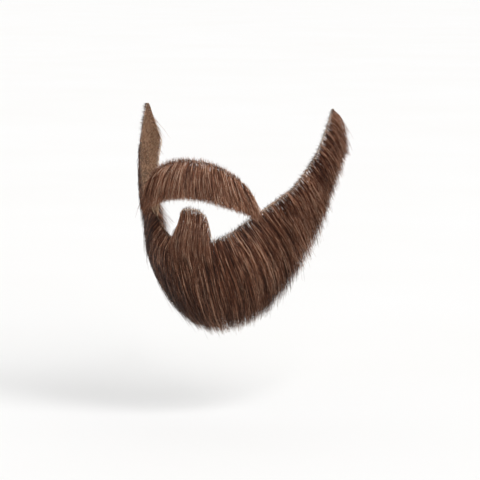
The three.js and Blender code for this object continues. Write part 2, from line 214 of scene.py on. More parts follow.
def newTree(name, inputs):
    tree = bpy.data.node_groups.new(name, "GeometryNodeTree")
    for label, kind in inputs:
        tree.interface.new_socket(label, in_out="INPUT", socket_type="NodeSocket" + kind)
    tree.interface.new_socket("Geometry", in_out="OUTPUT", socket_type="NodeSocketGeometry")
    return tree


def settle(source, tree, values, name):
    # runs a tree on a source mesh and keeps the result as a plain mesh object
    modifier = source.modifiers.new(tree.name, "NODES")
    modifier.node_group = tree
    for item in tree.interface.items_tree:
        if item.in_out == "INPUT" and item.name in values:
            modifier[item.identifier] = values[item.name]
    graph = bpy.context.evaluated_depsgraph_get()
    grown = source.evaluated_get(graph)
    mesh = bpy.data.meshes.new_from_object(grown, preserve_all_data_layers=True, depsgraph=graph)
    source.modifiers.remove(modifier)
    mesh.name = name
    onStrands = [a.name for a in mesh.attributes if a.domain in ("POINT", "CURVE")]
    for label in onStrands:
        if label != "position" and not label.startswith("."):
            mesh.attributes.remove(mesh.attributes[label])
    piece = bpy.data.objects.new(name, mesh)
    bpy.context.collection.objects.link(piece)
    sheet = source.data
    bpy.data.objects.remove(source)
    bpy.data.meshes.remove(sheet)
    print(name, "has", sum(len(p.vertices) - 2 for p in mesh.polygons), "triangles")
    return piece


# Real hair, dyed brown and tied single: dark strands with reddish and tan ones among them, and paler tips.
# A strand's map gives its tone across and its way from root to tip along.
def hairMaterial(name, look):
    material = bpy.data.materials.new(name)
    material.use_nodes = True
    tree = material.node_tree
    shader = tree.nodes["Principled BSDF"]
    place = addNode(tree, "ShaderNodeUVMap", {"uv_map": "OFBake"})
    parts = addNode(tree, "ShaderNodeSeparateXYZ", {}, {0: place})
    tone, along = parts.node.outputs[0], parts.node.outputs[1]

    # flecks along each strand shift its tone on the ramp
    fleckScale = (look["fleckAcross"], look["fleckAlong"], 1)
    fleckAt = addNode(tree, "ShaderNodeVectorMath", times, {0: place, 1: fleckScale})
    fleck = addNode(tree, "ShaderNodeTexNoise", onMap, {"Vector": fleckAt, "Scale": 1.0, "Detail": 1.0})
    fleckPart = addNode(tree, "ShaderNodeMapRange", {"clamp": False},
                        {0: fleck, 1: 0.0, 2: 1.0, 3: -look["fleck"] / 2, 4: look["fleck"] / 2})
    flecked = addNode(tree, "ShaderNodeMath", {**plus, "use_clamp": True}, {0: tone, 1: fleckPart})
    ramp = addNode(tree, "ShaderNodeValToRGB", {}, {0: flecked})
    stops = ramp.node.color_ramp.elements
    while len(stops) < len(look["tones"]):
        stops.new(0.5)
    for stop, (at, colour) in zip(stops, look["tones"]):
        stop.position = at
        stop.color = toLinear(colour)

    # some strands took the dye warmer, some cooler
    dyeScale = (look["dyeAcross"], look["dyeAlong"], 1)
    dyeAt = addNode(tree, "ShaderNodeVectorMath", times, {0: place, 1: dyeScale})
    dye = addNode(tree, "ShaderNodeTexNoise", onMap, {"Vector": dyeAt, "Scale": 1.0, "Detail": 0.0})
    coolest, warmest = look["dyeRange"]
    dyeShare = addNode(tree, "ShaderNodeMapRange", {}, {0: dye, 1: coolest, 2: warmest, 3: 0.0, 4: 1.0})
    tint = addNode(tree, "ShaderNodeMix", colours,
                   {0: dyeShare, 6: toLinear(look["cool"]), 7: toLinear(look["warm"])}, 2)
    tinted = addNode(tree, "ShaderNodeMix", coloursTimes, {0: 1.0, 6: ramp, 7: tint}, 2)

    # tips worn pale, roots in the shade of their neighbours
    nearTip = addNode(tree, "ShaderNodeMapRange", smoothly,
                      {0: along, 1: look["tipFrom"], 2: 1.0, 3: 0.0, 4: look["tipShare"]})
    tipped = addNode(tree, "ShaderNodeMix", colours, {0: nearTip, 6: tinted, 7: toLinear(look["tip"])}, 2)
    nearRoot = addNode(tree, "ShaderNodeMapRange", smoothly,
                       {0: along, 1: 0.0, 2: look["rootTo"], 3: look["rootShade"], 4: 1.0})
    shaded = addNode(tree, "ShaderNodeMix", coloursTimes, {0: 1.0, 6: tipped, 7: nearRoot}, 2)
    tree.links.new(shaded, shader.inputs["Base Color"])
    darkGloss, paleGloss = look["roughness"]
    gloss = addNode(tree, "ShaderNodeMapRange", {}, {0: tone, 1: 0.0, 2: 1.0, 3: darkGloss, 4: paleGloss})
    tree.links.new(gloss, shader.inputs["Roughness"])
    shader.inputs["IOR"].default_value = look["ior"]
    shader.inputs["Specular IOR Level"].default_value = look["shine"]
    return material


beardLook = {
    "tones": [(0.0, "241108"), (0.3, "3d2214"), (0.55, "563220"), (0.75, "7d5039"), (0.9, "ab836b"),
              (1.0, "cfae98")],
    "tip": "b08763", "tipFrom": 0.9, "tipShare": 0.35,
    "rootTo": 0.1, "rootShade": 0.85,
    "fleck": 0.7, "fleckAcross": 120, "fleckAlong": 22,
    "cool": "e2e4de", "warm": "ffe9e0", "dyeAcross": 270, "dyeAlong": 2, "dyeRange": (0.3, 0.7),
    "roughness": (0.4, 0.52), "shine": 0.22, "ior": 1.55,
}
moustacheLook = {
    **beardLook,
    "tones": [(0.0, "3a2115"), (0.3, "603c2b"), (0.55, "865a44"), (0.75, "ac7e64"), (0.9, "d2ae95"),
              (1.0, "e9d1be")],
    "tip": "8f664d", "tipFrom": 0.8, "tipShare": 0.3,
}
soulPatchLook = {**moustacheLook, "tip": "5f3c2a", "tipFrom": 0.4, "tipShare": 0.55}
beardHair = hairMaterial("dyed brown beard hair", beardLook)
moustacheHair = hairMaterial("dyed light brown moustache hair", moustacheLook)
soulPatchHair = hairMaterial("dyed light brown hair darker at the tips", soulPatchLook)


# A strand's way is a smooth curve with four handles, fitted to the places of four points along it.
wayParts = ["HandleA", "HandleB", "HandleC", "Tip"]
wayStops = [(k + 1) / len(wayParts) for k in range(len(wayParts))]
wayFit = np.linalg.inv([[math.comb(len(wayParts), k + 1) * t ** (k + 1) * (1 - t) ** (len(wayParts) - k - 1)
                         for k in range(len(wayParts))] for t in wayStops])

# How chance shapes and colours a strand, the same for all the hair.
strandForm = {
    # most strands lie in the outer layers, and few stray far
    "layerBias": 0.6, "strayBias": 30, "splay": 0.9,
    # what a lock gives to its wisps' tone, and a wisp to its strands'
    "lockShare": 0.5, "wispShare": 0.48, "toneRange": (0.19, 0.83),
    # strands draw together towards their tips, with kinks about 4 mm long
    "drawEase": 1.3, "kinksPerMetre": 260, "kinkSlide": 20,
    # sets the glints of one wisp apart from the next one's
    "glintSpread": 40,
    "stem": 10, "sides": 3, "taper": 0.7, "taperPower": 3,
    # shares of the map's width
    "mapTone": 0.96, "mapRing": 0.02, "mapEdge": 0.01,
}


def combTree(form):
    inputs = [("Bed", "Geometry"), ("Density", "Float"), ("Seed", "Int"), ("Points", "Int"),
              ("Width", "Float"), ("Wisp", "Float"), ("Wisp Pull", "Float"), ("Wisp Splay", "Float"),
              ("Lock", "Float"), ("Lock Pull", "Float"), ("Frizz", "Float"), ("Stray", "Float"),
              ("Longest", "Float"), ("Shortfall", "Float"), ("Length Bias", "Float"), ("Glint", "Float"),
              ("Glint Runs", "Float"), ("Material", "Material")]
    tree = newTree("combedHair", inputs)
    given = addNode(tree, "NodeGroupInput").node.outputs
    thick = addNode(tree, "GeometryNodeInputNamedAttribute", numbers, {"Name": "thick"})
    density = addNode(tree, "ShaderNodeMath", times, {0: given["Density"], 1: thick})
    points = addNode(tree, "GeometryNodeDistributePointsOnFaces", {},
                     {"Mesh": given["Bed"], "Density": density, "Seed": given["Seed"]})
    normal = points.node.outputs["Normal"]
    position = addNode(tree, "GeometryNodeInputPosition")
    middle = (0.5, 0.5, 0.5)

    # chance values of a strand: its layer in the depth of the hair, its length, its tone, how far it strays
    deep = addNode(tree, "FunctionNodeRandomValue", {}, {2: 0.0, 3: 1.0, "Seed": 11}, 1)
    layer = addNode(tree, "ShaderNodeMath", power, {0: deep, 1: form["layerBias"]})
    evenly = addNode(tree, "FunctionNodeRandomValue", {}, {2: 0.0, 3: 1.0, "Seed": 12}, 1)
    mostlyLong = addNode(tree, "ShaderNodeMath", power, {0: evenly, 1: given["Length Bias"]})
    shortBy = addNode(tree, "ShaderNodeMath", times, {0: mostlyLong, 1: given["Shortfall"]})
    reach = addNode(tree, "ShaderNodeMath", minus, {0: given["Longest"], 1: shortBy})
    chance = addNode(tree, "FunctionNodeRandomValue", {}, {2: 0.0, 3: 1.0, "Seed": 13}, 1)
    odd = addNode(tree, "FunctionNodeRandomValue", {}, {2: 0.0, 3: 1.0, "Seed": 14}, 1)
    rare = addNode(tree, "ShaderNodeMath", power, {0: odd, 1: form["strayBias"]})
    heading = addNode(tree, "FunctionNodeRandomValue", vectors, {0: (-1, -1, -1), 1: (1, 1, 1), "Seed": 15})

    # neighbours draw together into a wisp, and wisps into a lock, round the middle of each
    pulls, cells = [], []
    for size, pull in (("Wisp", "Wisp Pull"), ("Lock", "Lock Pull")):
        cellScale = addNode(tree, "ShaderNodeMath", {"operation": "DIVIDE"}, {0: 1.0, 1: given[size]})
        cell = addNode(tree, "ShaderNodeTexVoronoi", {},
                       {"Vector": position, "Scale": cellScale}, "Position")
        toMiddle = addNode(tree, "ShaderNodeVectorMath", minus, {0: cell, 1: position})
        outwardPart = addNode(tree, "ShaderNodeVectorMath", {"operation": "PROJECT"},
                              {0: toMiddle, 1: normal})
        sideways = addNode(tree, "ShaderNodeVectorMath", minus, {0: toMiddle, 1: outwardPart})
        pulls.append(addNode(tree, "ShaderNodeVectorMath", scaled, {0: sideways, 3: given[pull]}))
        cells.append(cell.node.outputs["Color"])
    together = addNode(tree, "ShaderNodeVectorMath", plus, {0: pulls[0], 1: pulls[1]})
    ownWay = addNode(tree, "ShaderNodeVectorMath", minus, {0: cells[0], 1: middle})
    apart = addNode(tree, "ShaderNodeVectorMath", scaled, {0: ownWay, 3: given["Wisp Splay"]})
    drawn = addNode(tree, "ShaderNodeVectorMath", plus, {0: together, 1: apart})
    wispOwn, lockOwn = (addNode(tree, "ShaderNodeSeparateXYZ", {}, {0: cell}) for cell in cells)
    wispTone = addNode(tree, "ShaderNodeMix", numbers, {0: form["lockShare"], 2: wispOwn, 3: lockOwn})
    mixedTone = addNode(tree, "ShaderNodeMix", numbers, {0: form["wispShare"], 2: chance, 3: wispTone})
    paler = addNode(tree, "GeometryNodeInputNamedAttribute", numbers, {"Name": "paler"})
    faded = addNode(tree, "ShaderNodeMath", plus, {0: mixedTone, 1: paler})
    darkest, palest = form["toneRange"]
    tone = addNode(tree, "ShaderNodeMapRange", {}, {0: faded, 1: darkest, 2: palest, 3: 0.0, 4: 1.0})

    strands = points
    kept = [("rootAt", "FLOAT_VECTOR", position), ("reach", "FLOAT", reach), ("tone", "FLOAT", tone),
            ("rare", "FLOAT", rare), ("heading", "FLOAT_VECTOR", heading), ("drawn", "FLOAT_VECTOR", drawn),
            ("wispAt", "FLOAT_VECTOR", cells[0])]
    for part in wayParts:
        under, outer = (addNode(tree, "GeometryNodeInputNamedAttribute", vectors, {"Name": depth + part})
                        for depth in ("under", "outer"))
        mixed = addNode(tree, "ShaderNodeMix", {"data_type": "VECTOR"}, {0: layer, 4: under, 5: outer}, 1)
        kept.append(("way" + part, "FLOAT_VECTOR", mixed))
    for label, kind, value in kept:
        strands = addNode(tree, "GeometryNodeStoreNamedAttribute", {"data_type": kind, "domain": "POINT"},
                          {"Geometry": strands, "Name": label, "Value": value})

    # each point becomes a curve, bent along its own way
    line = addNode(tree, "GeometryNodeCurvePrimitiveLine", {}, {"End": (0, 0, form["stem"] / 1000)})
    stem = addNode(tree, "GeometryNodeResampleCurve", {}, {"Curve": line, "Count": given["Points"]})
    planted = addNode(tree, "GeometryNodeInstanceOnPoints", {}, {"Points": strands, "Instance": stem})
    curves = addNode(tree, "GeometryNodeRealizeInstances", {}, {"Geometry": planted})
    factor = addNode(tree, "GeometryNodeSplineParameter")
    curves = addNode(tree, "GeometryNodeStoreNamedAttribute", numberOnPoints,
                     {"Geometry": curves, "Name": "along", "Value": factor})
    held = {}
    for label, kind, _ in kept + [("along", "FLOAT", None)]:
        held[label] = addNode(tree, "GeometryNodeInputNamedAttribute", {"data_type": kind}, {"Name": label})
    gone = addNode(tree, "ShaderNodeMath", times, {0: held["along"], 1: held["reach"]})
    bends = [(0.0, 0.0, 0.0)] + [held["way" + part] for part in wayParts]
    bending = {"data_type": "VECTOR", "clamp_factor": False}
    while len(bends) > 1:
        bends = [addNode(tree, "ShaderNodeMix", bending, {0: gone, 4: a, 5: b}, 1)
                 for a, b in zip(bends, bends[1:])]
    ease = addNode(tree, "ShaderNodeMath", power, {0: gone, 1: form["drawEase"]})
    locked = addNode(tree, "ShaderNodeVectorMath", scaled, {0: held["drawn"], 3: ease})
    slideWay = (0, 0, form["kinkSlide"] / 1000)
    slide = addNode(tree, "ShaderNodeVectorMath", scaled, {0: slideWay, 3: held["along"]})
    kinkAt = addNode(tree, "ShaderNodeVectorMath", plus, {0: held["rootAt"], 1: slide})
    kinks = addNode(tree, "ShaderNodeTexNoise", {},
                    {"Vector": kinkAt, "Scale": form["kinksPerMetre"], "Detail": 1.0}, "Color")
    evenKinks = addNode(tree, "ShaderNodeVectorMath", minus, {0: kinks, 1: middle})
    kinkSize = addNode(tree, "ShaderNodeMath", times, {0: given["Frizz"], 1: gone})
    kinked = addNode(tree, "ShaderNodeVectorMath", scaled, {0: evenKinks, 3: kinkSize})
    straySize = addNode(tree, "ShaderNodeMath", timesPlus,
                        {0: held["rare"], 1: given["Stray"], 2: form["splay"] / 1000})
    strayGrow = addNode(tree, "ShaderNodeMath", times, {0: straySize, 1: ease})
    strayed = addNode(tree, "ShaderNodeVectorMath", scaled, {0: held["heading"], 3: strayGrow})
    where = held["rootAt"]
    for shift in (bends[0], locked, kinked, strayed):
        where = addNode(tree, "ShaderNodeVectorMath", plus, {0: where, 1: shift})
    combed = addNode(tree, "GeometryNodeSetPosition", {}, {"Geometry": curves, "Position": where})

    # painted glints: a wisp's tone comes and goes along its strands, standing in for highlights
    spaced = addNode(tree, "ShaderNodeVectorMath", scaled, {0: held["wispAt"], 3: form["glintSpread"]})
    runs = addNode(tree, "ShaderNodeMath", times, {0: held["along"], 1: given["Glint Runs"]})
    onward = addNode(tree, "ShaderNodeCombineXYZ", {}, {2: runs})
    glintAt = addNode(tree, "ShaderNodeVectorMath", plus, {0: spaced, 1: onward})
    glint = addNode(tree, "ShaderNodeTexNoise", {}, {"Vector": glintAt, "Scale": 1.0, "Detail": 0.0})
    evenGlint = addNode(tree, "ShaderNodeMath", minus, {0: glint, 1: 0.5})
    glinting = addNode(tree, "ShaderNodeMath", {**timesPlus, "use_clamp": True},
                       {0: evenGlint, 1: given["Glint"], 2: held["tone"]})

    # three-sided strands that taper to the tip, with their tone and their way in the map
    late = addNode(tree, "ShaderNodeMath", power, {0: held["along"], 1: form["taperPower"]})
    taper = addNode(tree, "ShaderNodeMath", timesPlus, {0: late, 1: -form["taper"], 2: 1.0})
    girth = addNode(tree, "ShaderNodeMath", times, {0: taper, 1: given["Width"]})
    ringFactor = addNode(tree, "GeometryNodeSplineParameter")
    ring = addNode(tree, "GeometryNodeCurvePrimitiveCircle", {},
                   {"Resolution": form["sides"], "Radius": 0.5})
    ring = addNode(tree, "GeometryNodeStoreNamedAttribute", numberOnPoints,
                   {"Geometry": ring, "Name": "ring", "Value": ringFactor})
    tubes = addNode(tree, "GeometryNodeCurveToMesh", {},
                    {"Curve": combed, "Profile Curve": ring, "Scale": girth, "Fill Caps": True})
    ringHeld = addNode(tree, "GeometryNodeInputNamedAttribute", numbers, {"Name": "ring"})
    ringPart = addNode(tree, "ShaderNodeMath", timesPlus,
                       {0: ringHeld, 1: form["mapRing"], 2: form["mapEdge"]})
    across = addNode(tree, "ShaderNodeMath", timesPlus, {0: glinting, 1: form["mapTone"], 2: ringPart})
    spot = addNode(tree, "ShaderNodeCombineXYZ", {}, {0: across, 1: held["along"]})
    mapped = addNode(tree, "GeometryNodeStoreNamedAttribute", mapOnCorners,
                     {"Geometry": tubes, "Name": "OFBake", "Value": spot})
    smooth = addNode(tree, "GeometryNodeSetShadeSmooth", {}, {"Geometry": mapped})
    real = addNode(tree, "GeometryNodeRealizeInstances", {}, {"Geometry": smooth})
    dressed = addNode(tree, "GeometryNodeSetMaterial", {},
                      {"Geometry": real, "Material": given["Material"]})
    addNode(tree, "NodeGroupOutput", {}, {0: dressed})
    return tree


hairTree = combTree(strandForm)


def strandWay(turn, run, comb, length, layer):
    # along the lace with its lean, then hanging below the jaw line, within the brush's form and its trim
    back = np.sign(turn)
    lean, hangLean = (np.radians(between(comb[name], 1, np.abs(turn))) for name in ("lean", "hangLean"))
    girth = sectionRadius(wornForm["sections"], turn, jawHeight(turn) + np.maximum(run, 0))
    onLace = np.maximum(run, 0) / np.cos(lean)

    def place(gone, lift):
        lying = np.minimum(gone, onLace)
        hanging = gone - lying
        here = turn + back * np.degrees(lying * np.sin(lean)) / girth
        point = liftedPoint(here, np.where(run > 0, run - lying * np.cos(lean), run), lift)
        height = point[:, 2] - hanging
        curving = comb["bendDrop"] * (1 - np.exp(-hanging / comb["bendDrop"]))
        sweep = curving * np.tan(lean) + (hanging - curving) * np.tan(hangLean)
        around = turnOf(point) + back * np.degrees(sweep) / girth
        free = radiusOf(point) - hanging * comb["hangInward"]
        inset = comb["depth"] * (1 - layer) * np.minimum(hanging / comb["insetDrop"], 1)
        drawnIn = np.minimum(free, sectionRadius(wornForm["brush"], around, height) + comb["ridge"]) - inset
        drawnIn = np.maximum(drawnIn, underJaw(around, height) + comb["clearance"])
        return np.where((hanging > 0)[:, None], polarPoint(drawnIn, around, height), point)

    cut = np.array(length, float)
    tooLong = np.ones(cut.shape, bool)
    while tooLong.any():
        tip = place(cut, np.full_like(cut, comb["tipLift"]))
        tooLong = (tip[:, 2] < between(comb["trim"], 1, np.abs(turnOf(tip)))) & (cut > comb["shortest"])
        cut[tooLong] -= comb["trimStep"]
    dip = comb["rootDip"]
    depth = comb["underShare"] + (1 - comb["underShare"]) * layer
    rise = np.outer(between(comb["rise"], 1, np.abs(turn)), [0, 0, 1])
    ways = [liftedPoint(turn, run, np.full_like(cut, dip))]
    for share in wayStops:
        lift = dip + depth * (comb["rootLift"] + (comb["tipLift"] - comb["rootLift"]) * share - dip)
        ways.append(place(cut * share, np.full_like(cut, lift)) + rise * share)
    return ways


def hairBed(name, turns, regionOf, comb):
    # a sheet of roots, whose corners carry the ways of the deepest and the outermost strands
    shares = np.linspace(0, 1, comb["bedRows"])
    turn, share = (grid.ravel() for grid in np.meshgrid(turns, shares, indexing="ij"))
    top, bottom = regionOf(turn)
    run = top - comb["margin"] + (bottom - top + 2 * comb["margin"]) * share
    rows = len(shares)
    corners = toMetres(liftedPoint(turn, run, np.full_like(run, comb["rootDip"])))
    faces = [(i * rows + j, i * rows + j + 1, (i + 1) * rows + j + 1, (i + 1) * rows + j)
             for i in range(len(turns) - 1) for j in range(rows - 1)]
    mesh = bpy.data.meshes.new(name)
    mesh.from_pydata(corners.tolist(), [], faces)
    fromTop = (top - run) / comb["edgeBand"]
    thick = comb["edgeThick"] + (1 - comb["edgeThick"]) * np.clip(fromTop, 0, 1)
    thick = np.where(np.abs(turn) < comb["patchThick"], 1.0, thick)  # no edge where the soul patch grows on
    thick = thick * between(comb["growth"], 1, np.abs(turn))
    for label, value in (("thick", thick), ("paler", between(comb["paler"], 1, np.abs(turn)))):
        mesh.attributes.new(label, "FLOAT", "POINT").data.foreach_set("value", value)
    towardsJaw = np.clip((np.abs(turn) - comb["chinUpTo"]) / (comb["jawFrom"] - comb["chinUpTo"]), 0, 1)
    atChin, atJaw = (between(comb["length"], column, share) for column in (1, 2))
    length = atChin + (atJaw - atChin) * towardsJaw
    for depth, layer in (("under", 0.0), ("outer", 1.0)):
        root, *stops = strandWay(turn, run, comb, length, layer)
        offsets = np.stack([(stop - root) / 1000 for stop in stops])
        for part, value in zip(wayParts, np.tensordot(wayFit, offsets, 1)):
            handle = mesh.attributes.new(depth + part, "FLOAT_VECTOR", "POINT")
            handle.data.foreach_set("vector", value.ravel())
    areas = np.array([p.area * thick[list(p.vertices)].mean() for p in mesh.polygons])
    bed = bpy.data.objects.new(name, mesh)
    bpy.context.collection.objects.link(bed)
    return bed, float(areas.sum())


def growHair(name, node, material, turns, regionOf, comb):
    bed, area = hairBed(name + "_bed", turns, regionOf, comb)
    values = {"Density": comb["strands"] / area, "Seed": comb["seed"], "Points": comb["points"],
              "Width": comb["width"] / 1000, "Wisp": comb["wisp"] / 1000, "Wisp Pull": comb["wispPull"],
              "Wisp Splay": comb["wispSplay"] / 1000, "Lock": comb["lock"] / 1000,
              "Lock Pull": comb["lockPull"], "Frizz": comb["frizz"] / 1000, "Stray": comb["stray"] / 1000,
              "Longest": comb["longest"], "Shortfall": comb["shortfall"], "Length Bias": comb["lengthBias"],
              "Glint": comb["glint"], "Glint Runs": comb["glintRuns"], "Material": material}
    piece = settle(bed, hairTree, values, name)
    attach(piece, "root")
    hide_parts(node)
    return piece


# Chin and jaw share their lean and their trim. Strands are about two and a half times as thick as a hair,
# so that they show.
beardComb = {
    # turn, degrees away from straight down, on the lace and below it
    "lean": [(0, 0), (6, 3), (13, 17), (21, 27), (36, 31), (55, 31), (75, 35), (104, 36)],
    "hangLean": [(0, 0), (7, 2), (14, 8), (22, 14), (36, 21), (55, 28), (75, 35), (104, 36)],
    "bendDrop": 18,
    # turn, lowest height
    "trim": [(0, -91), (14, -90.5), (26, -89), (38, -85), (53, -79), (66, -66), (75, -51), (80, -43),
             (89, -28.5), (93.5, -18), (96, -3), (100, 14), (104, 25), (109, 35), (116, 44)],
    "trimStep": 0.5, "shortest": 5,
    # share of the way down the lace, length on the chin and on the jaw
    "length": [(0, 32, 24), (0.3, 50, 32), (0.55, 64, 48), (0.78, 66, 68), (1, 66, 68)],
    "chinUpTo": 30, "jawFrom": 70,
    "hangInward": 0.2, "insetDrop": 30, "ridge": 0.8, "depth": 12, "clearance": 1,
    "rootDip": 0.3, "rootLift": 3.4, "tipLift": 7.4, "underShare": 0.3, "rise": [(0, 0), (104, 0)],
    "margin": 0.1, "edgeBand": 3.5, "edgeThick": 2.4, "patchThick": 0, "bedRows": 25, "points": 5,
    # turn, share of the strands and how much paler they are
    "growth": [(0, 1.2), (7, 1.2), (15, 1.35), (28, 1.15), (40, 1), (75, 1), (92, 0.8)],
    "paler": [(0, 0.03), (25, 0.01), (45, -0.06), (60, 0.01), (75, 0.08), (92, 0.2)],
    "width": 0.25, "wisp": 0.6, "wispPull": 0.5, "wispSplay": 4, "lock": 9, "lockPull": 0.12,
    "frizz": 1.6, "stray": 5, "longest": 1.11, "shortfall": 0.5, "lengthBias": 2.1,
    "glint": 1.4, "glintRuns": 5,
}
chinComb = {**beardComb, "strands": 5600, "patchThick": 11, "seed": 3}
chinUnderComb = {**chinComb, "seed": 5}
jawComb = {**beardComb, "strands": 6350, "seed": 7}
jawRightComb = {**jawComb, "seed": 9}

# Turns at which the beds of roots end, and their columns.
bedForm = {"split": 40, "back": 103, "patchSide": 11,
           "chinColumns": 41, "jawColumns": 43, "moustacheColumns": 49, "patchColumns": 23}
chinTurns = np.linspace(-bedForm["split"], bedForm["split"], bedForm["chinColumns"])
leftTurns = np.linspace(bedForm["split"], bedForm["back"], bedForm["jawColumns"])
rightTurns = -leftTurns[::-1]
moustacheTurns = np.linspace(-laceForm["mouthCorner"], laceForm["mouthCorner"], bedForm["moustacheColumns"])
patchTurns = np.linspace(-bedForm["patchSide"], bedForm["patchSide"], bedForm["patchColumns"])
growHair("chin_strands", "chin_hair", beardHair, chinTurns, beardRegion, chinComb)
growHair("chin_strands_under", "chin_hair", beardHair, chinTurns, beardRegion, chinUnderComb)
growHair("jaw_strands_left", "jaw_hair_left", beardHair, leftTurns, beardRegion, jawComb)
growHair("jaw_strands_right", "jaw_hair_right", beardHair, rightTurns, beardRegion,
         jawRightComb)

moustacheComb = {
    **beardComb,
    "lean": [(0, 2), (16, 11), (28, 18), (36, 20)],
    "hangLean": [(0, 2), (16, 11), (28, 18), (36, 20)],
    "trim": [(0, -0.5), (10, -2), (20, -6), (28, -9.5), (36, -12)],
    "length": [(0, 17, 17), (0.5, 16, 16), (1, 12, 12)],
    "shortest": 4, "rootLift": 2.8, "tipLift": 7.2, "edgeThick": 1.2, "bedRows": 15,
    "growth": [(0, 1), (40, 1)],
    # paler in the middle; towards both ends darker, which is painted shade
    "paler": [(0, 0.06), (12, 0.04), (24, -0.06), (36, -0.12)],
    "width": 0.24, "wispPull": 0.45, "wispSplay": 2, "lock": 7, "lockPull": 0.1,
    "frizz": 0.7, "stray": 4, "longest": 1.02, "shortfall": 0.06, "lengthBias": 2, "glintRuns": 3,
    "strands": 7000, "points": 4, "seed": 13,
}
soulPatchComb = {
    **moustacheComb,
    "lean": [(0, 0), (12, 3)],
    "hangLean": [(0, 0), (12, 3)],
    "trim": [(0, -56), (12, -54)],
    "length": [(0, 18, 18), (0.4, 22, 22), (1, 24, 24)],
    "rootLift": 4.2, "tipLift": 8.8, "edgeBand": 4, "edgeThick": 0.9,
    "paler": [(0, 0), (12, 0)],
    "longest": 1.1, "shortfall": 0.65, "lengthBias": 1.2,
    "strands": 1800, "points": 5, "seed": 17,
}
growHair("moustache_strands", "moustache_hair", moustacheHair, moustacheTurns,
         moustacheRegion, moustacheComb)
growHair("soul_patch_strands", "soul_patch_hair", soulPatchHair, patchTurns,
         soulPatchRegion, soulPatchComb)

# Short hairs along the upper edges, which rise past the lace and make the hairline soft. On the jaw they
# lean to the front.
hairlineComb = {
    **beardComb,
    "band": 2.4,
    "lean": [(0, -10), (40, -25), (55, -45), (75, -65), (104, -70)],
    "hangLean": [(0, -10), (40, -25), (55, -45), (75, -65), (104, -70)],
    "length": [(0, 1.8, 4.2), (1, 1.8, 4.2)],
    # turn, how far the tips are raised
    "rise": [(0, 4.4), (40, 4.4), (60, 4), (80, 3.6), (104, 3.4)],
    "shortest": 0.5, "rootLift": 0.8, "tipLift": 1.7, "margin": 0, "edgeThick": 1, "bedRows": 4,
    "growth": [(0, 1), (104, 1)],
    "paler": [(0, -0.07), (104, -0.07)],
    "width": 0.2, "wispPull": 0.2, "wispSplay": 0, "lockPull": 0,
    "frizz": 1, "stray": 1, "longest": 1.2, "shortfall": 0.8, "lengthBias": 1,
    "strands": 1400, "points": 3, "seed": 21,
}
chinEdgeComb = {**hairlineComb, "growth": [(0, 0), (11, 0), (12, 1), (40, 1)], "strands": 700, "seed": 23}
rightEdgeComb = {**hairlineComb, "seed": 25}
moustacheEdgeComb = {**hairlineComb, "paler": [(0, 0.1), (36, 0.04)], "seed": 27}
patchEdgeComb = {**hairlineComb, "paler": [(0, 0.08), (12, 0.08)], "strands": 300, "seed": 29}


def hairlineOf(regionOf):
    def edgeBand(turn):
        top, bottom = regionOf(turn)
        return top, np.maximum(top - hairlineComb["band"], bottom)
    return edgeBand


beardEdge = hairlineOf(beardRegion)
growHair("chin_hairline", "chin_hair", beardHair, chinTurns, beardEdge, chinEdgeComb)
growHair("jaw_hairline_left", "jaw_hair_left", beardHair, leftTurns, beardEdge, hairlineComb)
growHair("jaw_hairline_right", "jaw_hair_right", beardHair, rightTurns, beardEdge,
         rightEdgeComb)
growHair("moustache_hairline", "moustache_hair", moustacheHair, moustacheTurns,
         hairlineOf(moustacheRegion), moustacheEdgeComb)
growHair("soul_patch_hairline", "soul_patch_hair", soulPatchHair, patchTurns,
         hairlineOf(soulPatchRegion), patchEdgeComb)
print("hair combed")


# Lace: fine knotted net of tan thread, drawn coarser than the real one so that its holes show.
laceNet = {
    "pitch": 1.9, "millimetresPerTurn": 1.13, "outlineStep": 0.1,
    "lowest": -27, "highest": 75, "lift": 0.5,
    # how far past the edge a knot is still taken in, and how thin a cell may be, as shares of a cell
    "edgeShare": 0.45, "thinCell": 0.12,
    "thread": 0.22, "threadSides": 3,
    # the bound edge, slim between its knots
    "edgeThread": 0.26, "edgeSides": 5, "knotSpacing": 1.3, "slim": 0.6, "knotSwell": 1.2,
    "tones": [(0.0, "a27c58"), (0.5, "ae8863"), (1.0, "d6bf9e")],
    "threadTones": 0.8, "edgeTone": 0.35, "knotTone": 0.6, "mapRing": 0.05,
    "roughness": 0.85, "sheen": 0.25, "ior": 1.5,
}


# Matt tan thread, each length a little different, with pale knots along the bound edge.
def laceMaterial(look):
    material = bpy.data.materials.new("tan knotted lace")
    material.use_nodes = True
    tree = material.node_tree
    shader = tree.nodes["Principled BSDF"]
    place = addNode(tree, "ShaderNodeUVMap", {"uv_map": "OFBake"})
    parts = addNode(tree, "ShaderNodeSeparateXYZ", {}, {0: place})
    ramp = addNode(tree, "ShaderNodeValToRGB", {}, {0: parts})
    stops = ramp.node.color_ramp.elements
    stops.new(0.5)
    for stop, (at, colour) in zip(stops, look["tones"]):
        stop.position = at
        stop.color = toLinear(colour)
    tree.links.new(ramp, shader.inputs["Base Color"])
    shader.inputs["Roughness"].default_value = look["roughness"]
    shader.inputs["Sheen Weight"].default_value = look["sheen"]
    shader.inputs["IOR"].default_value = look["ior"]
    return material


def laceFields(turn):
    # lower and upper run of the lace's two fields: the beard with its soul patch, and the moustache
    side = np.abs(turn)
    top, bottom = beardRegion(turn)
    corner, end = laceForm["mouthCorner"], laceForm["moustacheEnd"]
    upper = np.where(side < laceForm["patchFoot"], soulPatchRegion(turn)[0], top)
    upperTop, upperBottom = moustacheRegion(np.minimum(side, corner))
    fade = np.clip((side - corner) / (end - corner), 0, 1)
    return (bottom, upper), (np.where(side >= corner, top, upperBottom), upperTop + (top - upperTop) * fade)


